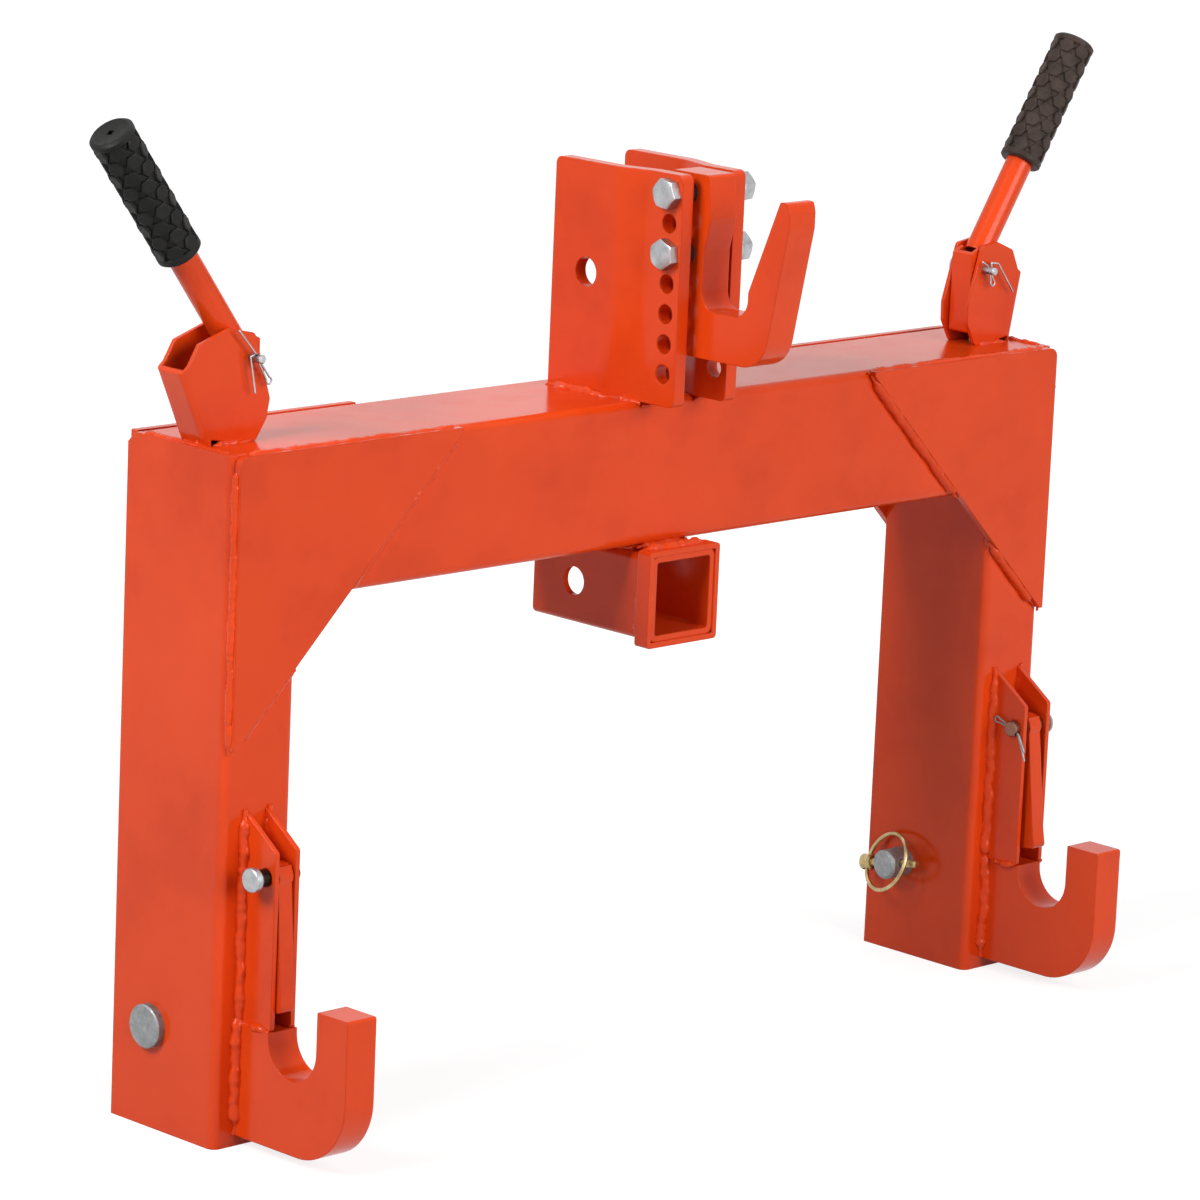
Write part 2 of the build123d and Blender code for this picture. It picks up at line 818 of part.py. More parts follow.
def turned(solid):
    axis = Axis((0, link_pin_y, link_pin_z), (1, 0, 0))
    return solid.rotate(axis, lynch_turn)


def rolled(solid):
    axis = Axis((lynch_x, 0, link_pin_z), (0, 1, 0))
    return turned(solid.rotate(axis, lynch_roll))


def lynch_pin():
    start = link_pin_y - lynch_tip
    head_y = link_pin_y + lynch_head_start
    shank = bar_y(lynch_size, start, head_y, lynch_x, link_pin_z)
    tip = shank.faces().sort_by(Axis.Y)[0].edges()
    head = bar_y(lynch_head_size, head_y, head_y + lynch_head_length, lynch_x, link_pin_z)
    pin = chamfer(tip, 1.2) + chamfer(head.edges(), 1.5)
    reach = lynch_head_size / 2 + 1
    pin -= bar_z(ring_hole, link_pin_z - reach, link_pin_z + reach, lynch_x, lynch_hinge_y)
    return rolled(pin)


# Lynch ring: a wire loop through the lynch pin head that closes round the link pin
def lynch_ring():
    radius = ring_size / 2
    tilt = math.radians(ring_tilt)
    origin = (
        lynch_x - radius * math.sin(tilt),
        lynch_hinge_y - radius * math.cos(tilt),
        link_pin_z,
    )
    plane = Plane(origin=origin, x_dir=(0, 0, 1), z_dir=(math.cos(tilt), -math.sin(tilt), 0))
    return rolled(plane * Torus(radius, ring_wire / 2))


save("cross_beam", cross_beam())
left_plate = mirror(mast_plate(), about=Plane.YZ)
save("left_mast_plate", left_plate)
save("right_mast_plate", mast_plate())
save("top_hook", top_hook())
bolt_set, nut_set, washer_set, spacer_set = top_hook_fasteners()
save("top_hook_bolts", *bolt_set)
save("top_hook_nuts", *nut_set)
save("top_hook_washers", *washer_set)
save("top_hook_spacers", *spacer_set)
save("receiver_tube", receiver_tube())
save("receiver_collar", receiver_collar())
save("receiver_pad", receiver_pad())

sides = (
    ("left", handle_lean_left, housing_left, cheek_width_left, latch_gap_left, latch_split_left),
    ("right", handle_lean_right, housing_right, cheek_width_right, latch_gap_right, latch_split_right),
)
latch_splits = []
lever_splits = []
for side_name, handle_lean, housing, cheek_width, pin_gap, split_turn in sides:
    latch_lean = latch_tilt_left if side_name == "left" else latch_tilt_right
    pin_seat_x = leg_centre_x + cheek_width / 2 + pin_gap
    save_side("leg", side_name, leg())
    front_gusset = gusset(half_width - gusset_inset, -gusset_thickness, 0, gusset_corner)
    rear_gusset = gusset(flange_inner_x, beam_size, beam_size + gusset_thickness, 1.0)
    save_side("front_gusset", side_name, front_gusset)
    save_side("rear_gusset", side_name, rear_gusset)
    save_side("lower_hook", side_name, lower_hook())
    save_side("latch_cheeks", side_name, *latch_cheeks(cheek_width))
    save_side("latch_bar", side_name, latch_bar(latch_lean))
    save_side("latch_pin", side_name, latch_pin(pin_seat_x, split_turn))
    save_side("latch_rod_pin", side_name, latch_rod_pin())
    save_side("lever_housing", side_name, lever_housing(housing))
    save_side("lever_pin", side_name, lever_pin())
    save_side("lever_fork", side_name, lever_fork(handle_lean))
    save_side("handle_tube", side_name, handle_tube(handle_lean))
    save_side("hand_grip", side_name, hand_grip(handle_lean))
    save_side("lever_rod_pin", side_name, lever_rod_pin())
    save_side("pull_rod", side_name, pull_rod())
    save_side("spring_collar", side_name, spring_collar())
    save_side("return_spring", side_name, return_spring())
    save_side("link_pin", side_name, link_pin())
    save_side("lynch_pin", side_name, lynch_pin())
    save_side("lynch_ring", side_name, lynch_ring())
    latch_split = latch_split_frame(pin_seat_x, split_turn) * split_pin(24, 7, 6)
    lever_split = lever_split_frame() * split_pin(18, 4, 6)
    if side_name == "left":
        latch_split = mirror(latch_split, about=Plane.YZ)
        lever_split = mirror(lever_split, about=Plane.YZ)
    latch_splits.append(latch_split)
    lever_splits.append(lever_split)

save("latch_split_pins", *latch_splits)
save("lever_split_pins", *lever_splits)
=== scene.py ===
import bpy
import json
import math
from mathutils import Matrix, Vector


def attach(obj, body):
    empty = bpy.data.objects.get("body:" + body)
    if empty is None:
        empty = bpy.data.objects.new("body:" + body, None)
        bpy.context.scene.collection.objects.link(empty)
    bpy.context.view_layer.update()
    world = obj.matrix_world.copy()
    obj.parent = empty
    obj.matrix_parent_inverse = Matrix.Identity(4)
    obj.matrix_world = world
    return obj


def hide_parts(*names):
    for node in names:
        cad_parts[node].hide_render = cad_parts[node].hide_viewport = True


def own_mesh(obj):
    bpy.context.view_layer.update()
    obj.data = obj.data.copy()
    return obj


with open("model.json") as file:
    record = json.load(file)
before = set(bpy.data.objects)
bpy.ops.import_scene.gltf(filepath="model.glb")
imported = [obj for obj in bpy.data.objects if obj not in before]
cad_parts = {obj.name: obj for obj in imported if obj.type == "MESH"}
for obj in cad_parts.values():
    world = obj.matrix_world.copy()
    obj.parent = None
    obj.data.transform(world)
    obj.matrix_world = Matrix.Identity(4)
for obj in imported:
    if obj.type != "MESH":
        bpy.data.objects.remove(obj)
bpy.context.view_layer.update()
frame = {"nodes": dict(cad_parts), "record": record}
nodes = frame["nodes"]
mm = 0.001
legFront = 4.2  # front face of the legs, in mm along y
print("frame loaded:", len(nodes), "nodes")


def selectNone():
    if bpy.context.mode != "OBJECT":
        bpy.ops.object.mode_set(mode="OBJECT")
    bpy.ops.object.select_all(action="DESELECT")


def work(obj):
    selectNone()
    obj.select_set(True)
    bpy.context.view_layer.objects.active = obj
    return obj


def edit(obj):
    work(obj)
    bpy.ops.object.mode_set(mode="EDIT")
    bpy.ops.mesh.select_all(action="DESELECT")


def done():
    bpy.ops.object.mode_set(mode="OBJECT")


# selects points or edges of the object by a test on their place
def pick(obj, kind, test):
    edit(obj)
    bpy.ops.mesh.select_mode(type=kind)
    done()
    mesh = obj.data
    if kind == "VERT":
        for v in mesh.vertices:
            v.select = test(v.co)
    else:
        for e in mesh.edges:
            e.select = test(mesh.vertices[e.vertices[0]].co, mesh.vertices[e.vertices[1]].co)
    bpy.ops.object.mode_set(mode="EDIT")


def applyAll(obj):
    work(obj)
    for modifier in list(obj.modifiers):
        bpy.ops.object.modifier_apply(modifier=modifier.name)


def seat(obj, matrix):
    work(obj)
    obj.matrix_world = matrix @ obj.matrix_world
    bpy.ops.object.transform_apply(location=True, rotation=True, scale=True)
    return obj


def copyOf(obj, name):
    twin = obj.copy()
    twin.data = obj.data.copy()
    twin.name = name
    bpy.context.scene.collection.objects.link(twin)
    return twin


def joined(name, parts):
    selectNone()
    for part in parts:
        part.select_set(True)
    bpy.context.view_layer.objects.active = parts[0]
    bpy.ops.object.join()
    whole = bpy.context.view_layer.objects.active
    whole.name = name
    whole.data.name = name
    return whole


def smooth(obj, angle):
    work(obj)
    bpy.ops.object.shade_smooth_by_angle(angle=math.radians(angle))


def outward(obj, merge=0.00001):
    edit(obj)
    bpy.ops.mesh.select_all(action="SELECT")
    bpy.ops.mesh.remove_doubles(threshold=merge)
    bpy.ops.mesh.normals_make_consistent(inside=False)
    done()


def scrap(*objs):
    for obj in objs:
        bpy.data.objects.remove(obj, do_unlink=True)


# turns local z into the given direction
def facing(place, along, roll=0.0):
    turn = Vector(along).normalized().to_track_quat("Z", "Y").to_matrix().to_4x4()
    return Matrix.Translation(Vector(place)) @ turn @ Matrix.Rotation(roll, 4, "Z")


# a chain of edges through points in mm
def chain(name, points):
    selectNone()
    bpy.ops.mesh.primitive_plane_add(size=0.001)
    obj = bpy.context.active_object
    obj.name = name
    edit(obj)
    bpy.ops.mesh.select_all(action="SELECT")
    bpy.ops.mesh.merge(type="CENTER")
    here = Vector((0, 0, 0))
    for step, point in enumerate(points):
        there = Vector(point) * mm
        if step == 0:
            bpy.ops.transform.translate(value=there)
        else:
            bpy.ops.mesh.extrude_region_move(TRANSFORM_OT_translate={"value": there - here})
        here = there
    done()
    return obj


# a body turned about local z from (radius, height) points in mm
def turnedPiece(name, profile, steps, closed=True):
    obj = chain(name, [(radius, 0, height) for radius, height in profile])
    edit(obj)
    bpy.ops.mesh.select_all(action="SELECT")
    bpy.ops.mesh.spin(steps=steps, angle=math.tau, center=(0, 0, 0), axis=(0, 0, 1))
    done()
    outward(obj)
    if closed:
        edit(obj)
        bpy.ops.mesh.select_all(action="SELECT")
        bpy.ops.mesh.fill_holes(sides=0)
        bpy.ops.mesh.normals_make_consistent(inside=False)
        done()
    return obj


# a round wire along points in mm
def bentWire(name, points, radius):
    obj = chain(name, points)
    skin = obj.modifiers.new("wire", "SKIN")
    skin.use_smooth_shade = True
    for corner in obj.data.skin_vertices[0].data:
        corner.radius = (radius * mm, radius * mm)
    soft = obj.modifiers.new("soft", "SUBSURF")
    soft.levels = 2
    applyAll(obj)
    outward(obj)
    return obj


# finishes: every one is mixed from noise in object coordinates
def finishNodes(name):
    material = bpy.data.materials.new(name)
    material.use_nodes = True
    tree = material.node_tree
    shader = tree.nodes["Principled BSDF"]
    return material, tree, shader


def addNode(tree, kind, **values):
    node = tree.nodes.new(kind)
    for key, value in values.items():
        if key in node.inputs:
            node.inputs[key].default_value = value
        else:
            setattr(node, key, value)
    return node


def noise(tree, scale, detail, rough):
    place = tree.nodes.new("ShaderNodeTexCoord")
    texture = addNode(tree, "ShaderNodeTexNoise", Scale=scale, Detail=detail, Roughness=rough)
    tree.links.new(place.outputs["Object"], texture.inputs["Vector"])
    return texture.outputs["Fac"]


def ramp(tree, source, stops):
    node = tree.nodes.new("ShaderNodeValToRGB")
    while len(node.color_ramp.elements) < len(stops):
        node.color_ramp.elements.new(0.5)
    for element, (place, colour) in zip(node.color_ramp.elements, stops):
        element.position = place
        element.color = (*colour, 1)
    tree.links.new(source, node.inputs["Fac"])
    return node.outputs["Color"]


def spread(tree, source, low, high):
    node = addNode(tree, "ShaderNodeMapRange")
    node.inputs["From Min"].default_value = 0.3
    node.inputs["From Max"].default_value = 0.7
    node.inputs["To Min"].default_value = low
    node.inputs["To Max"].default_value = high
    tree.links.new(source, node.inputs["Value"])
    return node.outputs["Result"]


# fine and coarse bumps over a rounded edge
def relief(tree, shader, edge, layers):
    rounded = addNode(tree, "ShaderNodeBevel", samples=6, Radius=edge)
    normal = rounded.outputs["Normal"]
    for source, strength, depth in layers:
        bump = addNode(tree, "ShaderNodeBump", Strength=strength, Distance=depth)
        tree.links.new(source, bump.inputs["Height"])
        tree.links.new(normal, bump.inputs["Normal"])
        normal = bump.outputs["Normal"]
    tree.links.new(normal, shader.inputs["Normal"])


paint = {
    "deep": (0.60, 0.042, 0.0035),
    "full": (0.70, 0.055, 0.0052),
    "light": (0.74, 0.061, 0.0065),
    "rough": (0.15, 0.24),
    "sheen": 0.20,
    "peel": 480,
    "waves": 24,
    "edge": 0.0014,
}


def orangePaint():
    material, tree, shader = finishNodes("orangePowderCoat")
    cloud = noise(tree, 9, 4, 0.6)
    colour = ramp(tree, cloud, [(0.28, paint["deep"]), (0.5, paint["full"]), (0.74, paint["light"])])
    tree.links.new(colour, shader.inputs["Base Color"])
    tree.links.new(spread(tree, noise(tree, 55, 5, 0.65), *paint["rough"]), shader.inputs["Roughness"])
    shader.inputs["Specular IOR Level"].default_value = paint["sheen"]
    peel = noise(tree, paint["peel"], 2, 0.5)
    waves = noise(tree, paint["waves"], 1, 0.4)
    relief(tree, shader, paint["edge"], [(waves, 0.02, 0.0012), (peel, 0.015, 0.0003)])
    return material


zinc = {"dark": (0.30, 0.31, 0.32), "bright": (0.50, 0.51, 0.52), "rough": (0.28, 0.44)}


def zincPlate():
    material, tree, shader = finishNodes("zincPlate")
    shader.inputs["Metallic"].default_value = 1.0
    colour = ramp(tree, noise(tree, 140, 6, 0.65), [(0.3, zinc["dark"]), (0.7, zinc["bright"])])
    tree.links.new(colour, shader.inputs["Base Color"])
    tree.links.new(spread(tree, noise(tree, 320, 4, 0.6), *zinc["rough"]), shader.inputs["Roughness"])
    grain = noise(tree, 900, 3, 0.6)
    relief(tree, shader, 0.0006, [(grain, 0.15, 0.0002)])
    return material


forged = {"dark": (0.19, 0.20, 0.205), "bright": (0.33, 0.34, 0.345), "rough": (0.42, 0.6)}


def forgedSteel():
    material, tree, shader = finishNodes("dullForgedSteel")
    shader.inputs["Metallic"].default_value = 0.85
    colour = ramp(tree, noise(tree, 170, 6, 0.7), [(0.32, forged["dark"]), (0.68, forged["bright"])])
    tree.links.new(colour, shader.inputs["Base Color"])
    tree.links.new(spread(tree, noise(tree, 260, 4, 0.6), *forged["rough"]), shader.inputs["Roughness"])
    grain = noise(tree, 520, 4, 0.65)
    relief(tree, shader, 0.0008, [(grain, 0.3, 0.0003)])
    return material


yellowZinc = {
    "dark": (0.28, 0.19, 0.085),
    "middle": (0.46, 0.35, 0.17),
    "bright": (0.60, 0.47, 0.26),
    "rough": (0.26, 0.44),
}


def yellowPlate():
    material, tree, shader = finishNodes("yellowZincPlate")
    shader.inputs["Metallic"].default_value = 1.0
    stops = [(0.28, yellowZinc["dark"]), (0.52, yellowZinc["middle"]), (0.72, yellowZinc["bright"])]
    tree.links.new(ramp(tree, noise(tree, 120, 5, 0.6), stops), shader.inputs["Base Color"])
    dull = spread(tree, noise(tree, 300, 4, 0.6), *yellowZinc["rough"])
    tree.links.new(dull, shader.inputs["Roughness"])
    relief(tree, shader, 0.0004, [(noise(tree, 800, 3, 0.6), 0.12, 0.0002)])
    return material


# painted shade with rust on the latch pin shanks: near black on the left, reddish brown on the right from
# paint stain and a painted orange reflection
shankShadeAndStain = {"edge": (0.3840, 0.3858), "left": (0.020, 0.012, 0.008), "right": (0.22, 0.10, 0.07)}


# bright heads outside the cheeks; the shanks between them are darkened with painted shade and rust, and the
# right pin's shank is a reddish brown that is partly paint stain and partly a painted reflection of the
# orange cheeks
def latchPinFinish(side):
    material, tree, shader = finishNodes(side + "ZincLatchPin")
    shader.inputs["Metallic"].default_value = 0.9
    colour = ramp(tree, noise(tree, 140, 6, 0.65), [(0.3, zinc["dark"]), (0.7, zinc["bright"])])
    place = tree.nodes.new("ShaderNodeTexCoord")
    axes = tree.nodes.new("ShaderNodeSeparateXYZ")
    out = addNode(tree, "ShaderNodeMath", operation="ABSOLUTE")
    edge = tree.nodes.new("ShaderNodeMapRange")
    edge.inputs["From Min"].default_value, edge.inputs["From Max"].default_value = shankShadeAndStain["edge"]
    mix = addNode(tree, "ShaderNodeMix", data_type="RGBA")
    # the shank colour mixed in here is painted shade with rust and stain, taken where |x| is inside the
    # cheeks
    mix.inputs[6].default_value = (*shankShadeAndStain[side], 1)
    tree.links.new(place.outputs["Object"], axes.inputs[0])
    tree.links.new(axes.outputs["X"], out.inputs[0])
    tree.links.new(out.outputs[0], edge.inputs["Value"])
    tree.links.new(edge.outputs["Result"], mix.inputs[0])
    tree.links.new(colour, mix.inputs[7])
    tree.links.new(mix.outputs[2], shader.inputs["Base Color"])
    tree.links.new(spread(tree, noise(tree, 320, 4, 0.6), *zinc["rough"]), shader.inputs["Roughness"])
    relief(tree, shader, 0.0006, [(noise(tree, 900, 3, 0.6), 0.15, 0.0002)])
    return material


blackSteel = {"dark": (0.012, 0.012, 0.013), "bright": (0.035, 0.034, 0.033), "rough": (0.35, 0.55)}


def blackSleeve():
    material, tree, shader = finishNodes("blackOxideSteel")
    shader.inputs["Metallic"].default_value = 0.5
    colour = ramp(tree, noise(tree, 220, 4, 0.6), [(0.3, blackSteel["dark"]), (0.7, blackSteel["bright"])])
    tree.links.new(colour, shader.inputs["Base Color"])
    tree.links.new(spread(tree, noise(tree, 300, 4, 0.6), *blackSteel["rough"]), shader.inputs["Roughness"])
    relief(tree, shader, 0.0004, [(noise(tree, 700, 3, 0.6), 0.2, 0.0002)])
    return material


rubber = {
    "left": ((0.0035, 0.0035, 0.0032), (0.0085, 0.0085, 0.0080)),
    "right": ((0.020, 0.0125, 0.0095), (0.052, 0.033, 0.026)),
    "rough": (0.42, 0.62),
    "sheen": 0.17,
}


def gripRubber(side):
    material, tree, shader = finishNodes(side + "GripRubber")
    low, high = rubber[side]
    colour = ramp(tree, noise(tree, 90, 4, 0.6), [(0.3, low), (0.7, high)])
    tree.links.new(colour, shader.inputs["Base Color"])
    tree.links.new(spread(tree, noise(tree, 260, 4, 0.6), *rubber["rough"]), shader.inputs["Roughness"])
    shader.inputs["Specular IOR Level"].default_value = rubber["sheen"]
    relief(tree, shader, 0.0004, [(noise(tree, 1100, 3, 0.6), 0.25, 0.0002)])
    return material


finishes = {
    "orange_paint": orangePaint(),
    "zinc_steel": zincPlate(),
    "yellow_zinc": yellowPlate(),
    "black_steel": blackSleeve(),
    "black_rubber": gripRubber("left"),
}
forgedFinish = forgedSteel()
pinFinishes = {side + "_latch_pin": latchPinFinish(side) for side in ("left", "right")}
rightRubber = gripRubber("right")


def dress(obj, material):
    obj.data.materials.clear()
    obj.data.materials.append(material)


slots = {row["node"]: row["material_slot"] for row in frame["record"]["subparts"]}
for nodeName, obj in nodes.items():
    chosen = finishes[slots[nodeName]]
    if nodeName.endswith("link_pin"):
        chosen = forgedFinish
    elif nodeName in pinFinishes:
        chosen = pinFinishes[nodeName]
    for place in obj.material_slots:
        place.material = chosen
print("finishes on", len(nodes), "nodes")


def setPiece(obj, body, slot, material, *replaced):
    dress(obj, material)
    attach(obj, body)
    if replaced:
        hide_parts(*replaced)


# weld beads: rows of shallow ripples, made uneven by a cloud
weld = {"pitch": 1.3, "lump": 0.0052, "lumpSize": 0.009, "fine": 0.0016, "fineSize": 0.003, "calm": 0.5}


def rippleMaster():
    selectNone()
    bpy.ops.mesh.primitive_cylinder_add(vertices=12, radius=1, depth=1, end_fill_type="NOTHING")
    obj = bpy.context.active_object
    obj.name = "ripple"
    pick(obj, "EDGE", lambda a, b: abs(a.z - b.z) > 0.5)
    bpy.ops.mesh.subdivide(number_cuts=3)
    for height, size in ((-0.5, 0.92), (-0.25, 0.98), (0.25, 1.0), (0.5, 0.92)):
        pick(obj, "VERT", lambda co: abs(co.z - height) < 0.01)
        bpy.ops.transform.resize(value=(size, size, 1))
    done()
    return obj


ripple = rippleMaster()


def bead(start, end, radius):
    start = Vector(start) * mm + Vector((0, legFront * mm, 0))
    end = Vector(end) * mm + Vector((0, legFront * mm, 0))
    radius = radius * mm
    length = (end - start).length
    count = max(2, round(length / (weld["pitch"] * radius)))
    run = copyOf(ripple, "bead")
    row = run.modifiers.new("row", "ARRAY")
    row.count = count
    row.use_relative_offset = False
    row.use_constant_offset = True
    row.constant_offset_displace = (0, 0, 1)
    row.use_merge_vertices = True
    row.merge_threshold = 0.02
    applyAll(run)
    pick(run, "VERT", lambda co: co.z < -0.4 or co.z > count - 0.6)
    bpy.ops.transform.resize(
        value=(0.3, 0.3, 1),
        use_proportional_edit=True,
        proportional_edit_falloff="SPHERE",
        proportional_size=1.6,
    )
    bpy.ops.mesh.select_all(action="SELECT")
    bpy.ops.mesh.fill_holes(sides=0)
    done()
    size = Matrix.Diagonal((radius, radius, length / count, 1))
    seat(run, facing(start, end - start) @ size @ Matrix.Translation((0, 0, 0.5)))
    return run


def cloud(name, size):
    texture = bpy.data.textures.new(name, "CLOUDS")
    texture.noise_scale = size
    return texture


lumps = (
    (cloud("weldLumps", weld["lumpSize"]), weld["lump"]),
    (cloud("weldGrain", weld["fineSize"]), weld["fine"]),
)


def weldSet(name, runs, rough=1.0):
    whole = joined(name, [bead(*run) for run in runs])
    for texture, strength in lumps:
        uneven = whole.modifiers.new("uneven", "DISPLACE")
        uneven.texture = texture
        uneven.texture_coords = "LOCAL"
        uneven.strength = strength * rough
    applyAll(whole)
    smooth(whole, 60)
    setPiece(whole, "frame", "orange_paint", finishes["orange_paint"])
    return whole


def mirrored(runs):
    return [((-a[0], *a[1:]), (-b[0], *b[1:]), *rest) for a, b, *rest in runs]


frameSizes = {
    "half": 397, "legIn": 337, "legMid": 367, "top": 466, "under": 364.4, "back": 101.6,
    "hookHalf": 12.5, "cheekLeft": 10.65, "cheekRight": 14.25, "footLeft": 37, "footRight": 33.2,
}


def gussetRuns(s):
    half, legIn, top, under, back = (s[k] for k in ("half", "legIn", "top", "under", "back"))
    return [
        ((199.5, -1.6, 463), (299, -1.6, 363.5), 4.3),
        ((336, -1.6, 326.5), (389.5, -1.6, 273), 4.1),
        ((half - 2.4, -1.4, top - 6), (half - 2.4, -1.4, 268), 3.2),
        ((198, 0.2, top - 1.8), (half - 7, 0.2, top - 1.8), 3.4),
        ((half - 4.6, 4, top - 1.4), (half - 4.6, back - 5, top - 1.4), 3.0),
        ((legIn, 4, under - 0.5), (legIn, back - 3, under - 0.5), 3.6),
        ((legIn + 1, 0.6, 320), (legIn + 1, 0.6, under - 2), 2.2),
        ((199.5, back + 0.6, 463), (299, back + 0.6, 363.5), 3.6),
        ((half - 5, back + 2.5, 280), (half - 5, back + 2.5, top - 10), 2.6),
    ]


def hookRuns(mid, cheekHalf):
    runs = []
    for side in (-1, 1):
        hookSide = mid + side * frameSizes["hookHalf"]
        cheekSide = mid + side * cheekHalf
        runs.append(((hookSide, -0.5, 8.5), (hookSide, -0.5, 96), 5.0))
        runs.append(((cheekSide, -0.5, 80), (cheekSide, -0.5, 229), 4.8))
        runs.append(((cheekSide, -4, 85), (cheekSide, -30, 85), 2.4))
    return runs


weldSet("right_gusset_welds", gussetRuns(frameSizes), weld["calm"])
weldSet("left_gusset_welds", mirrored(gussetRuns(frameSizes)), weld["calm"])
weldSet("right_hook_welds", hookRuns(frameSizes["legMid"], frameSizes["cheekRight"]))
weldSet("left_hook_welds", mirrored(hookRuns(frameSizes["legMid"], frameSizes["cheekLeft"])))


def mastRuns(top):
    return [
        ((38.5, 83, top), (38.5, 24, top), 5.0),
        ((38.5, 25, top), (30, -1, top - 0.6), 5.0),
        ((37, 83.5, top), (29, 83.5, top), 4.2),
        ((28, 81, top), (28, 26, top), 3.6),
        ((29.5, -1.8, top - 2.5), (21, -1.8, top - 2.5), 4.2),
    ]


weldSet("mast_welds", mastRuns(frameSizes["top"]) + mirrored(mastRuns(frameSizes["top"])))


def receiverRuns(under):
    sides = [
        ((25.5, 6, under - 2), (25.5, 96, under - 2), 3.4),
        ((30, -8.5, under - 60), (30, -8.5, under - 8), 2.6),
    ]
    level = [
        ((-33, -11, under - 1.8), (33, -11, under - 1.8), 5.0),
        ((-27, -8.5, under - 64), (27, -8.5, under - 64), 2.6),
        ((-24, 3, under - 1.5), (24, 3, under - 1.5), 3.6),
    ]
    return sides + mirrored(sides) + level


weldSet("receiver_welds", receiverRuns(frameSizes["under"]))


leverPin = (354, 47, 521.5)


def housingRuns(top, foot):
    outer = leverPin[0] + foot
    runs = []
    for y in (33.5, 60.5):
        runs.append(((349.5, y, top), (outer - 6, y, top), 2.2))
    runs.append(((outer, 35.5, top), (outer, 58.5, top), 2.4))
    return runs


rightHousing = housingRuns(frameSizes["top"], frameSizes["footRight"])
leftHousing = housingRuns(frameSizes["top"], frameSizes["footLeft"])
weldSet("housing_welds", rightHousing + mirrored(leftHousing))
scrap(ripple)
print("weld beads in place")

# hand grips: a turned sleeve with rows of six sided pads
grip = {
    "start": 88, "end": 190, "core": 13.6, "flange": 15.5, "flangeLength": 6, "hole": 4.2,
    "around": 7, "rows": 9, "pitch": 10.4, "first": 9.4, "padHeight": 0.9, "gap": 0.83, "padSink": 1.6,
    "bore": 10.05,
}
levers = {
    "left": {"lean": 36.5, "sign": -1, "rubber": finishes["black_rubber"]},
    "right": {"lean": 32.3, "sign": 1, "rubber": rightRubber},
}


def gripPad(g):
    step = math.tau / g["around"]
    across = step * g["core"] * mm
    selectNone()
    corner = across / math.sqrt(3) * g["gap"]
    bpy.ops.mesh.primitive_circle_add(vertices=6, radius=corner, fill_type="NGON")
    pad = bpy.context.active_object
    pad.name = "gripPad"
    edit(pad)
    bpy.ops.mesh.select_all(action="SELECT")
    bpy.ops.mesh.extrude_region_move(TRANSFORM_OT_translate={"value": (0, 0, g["padHeight"] * mm)})
    bpy.ops.mesh.inset(thickness=0.0008, depth=0.0005)
    done()
    pick(pad, "VERT", lambda co: co.z < 0.0001)
    bpy.ops.transform.translate(value=(0, 0, -g["padSink"] * mm))
    done()
    seat(pad, Matrix.Translation((g["core"] * mm, 0, 0)) @ Matrix.Rotation(math.pi / 2, 4, "Y"))
    return pad


def gripPads(g):
    step = math.tau / g["around"]
    pad = gripPad(g)
    hub = bpy.data.objects.new("gripHub", None)
    bpy.context.scene.collection.objects.link(hub)
    hub.rotation_euler = (0, 0, step)
    rows = []
    for row in range(g["rows"]):
        one = copyOf(pad, "gripRow")
        ring = one.modifiers.new("ring", "ARRAY")
        ring.count = g["around"]
        ring.use_relative_offset = False
        ring.use_object_offset = True
        ring.offset_object = hub
        bpy.context.view_layer.update()
        applyAll(one)
        height = (g["first"] + row * g["pitch"]) * mm
        seat(one, Matrix.Translation((0, 0, height)) @ Matrix.Rotation(step / 2 * (row % 2), 4, "Z"))
        rows.append(one)
    scrap(pad, hub)
    return rows


def gripSleeve(g):
    length = g["end"] - g["start"]
    f, w, c, b = (g[k] for k in ("flange", "flangeLength", "core", "bore"))
    profile = [
        (b, 0), (f - 1.2, 0), (f, 1.2), (f, w - 1.5), (f - 0.8, w - 0.4), (c, w),
        (c, length - w), (f - 0.8, length - w + 0.4), (f, length - w + 1.5), (f, length - 1.8),
        (f - 1.8, length - 0.2), (c - 1, length), (c - 2.2, length - 0.5), (0.01, length - 0.5),
        (0.01, length - 3), (b, length - 3), (b, 0),
    ]
    sleeve = turnedPiece("gripSleeve", profile, 48, closed=False)
    selectNone()
    bpy.ops.mesh.primitive_cube_add(size=g["hole"] * mm, location=(0, 0, (length - 1.7) * mm))
    punch = bpy.context.active_object
    cut = sleeve.modifiers.new("capHole", "BOOLEAN")
    cut.operation = "DIFFERENCE"
    cut.solver = "EXACT"
    cut.object = punch
    applyAll(sleeve)
    scrap(punch)
    return sleeve


for side, lever in levers.items():
    whole = joined(side + "_grip_rubber", [gripSleeve(grip), *gripPads(grip)])
    tilt = math.radians(lever["lean"])
    along = Vector((lever["sign"] * math.sin(tilt), 0, math.cos(tilt)))
    pivot = Vector((lever["sign"] * leverPin[0], leverPin[1] + legFront, leverPin[2]))
    seat(whole, facing((pivot + along * grip["start"]) * mm, along, 0.2))
    smooth(whole, 32)
    setPiece(whole, side + "_lever", "black_rubber", lever["rubber"], side + "_hand_grip")
print("grips done")

# bolts and nuts of the top hook
bolt = {
    "flats": 19, "head": 7.5, "shank": 12, "nut": 10, "headSeat": -30, "nutSeat": 32.5, "end": 46.5,
    "y": -20.5, "pitch": 1.75, "heights": (571.2, 612.7),
    "plain": 63, "rolls": (0.1, 0.35), "nutRoll": 0.25,
}


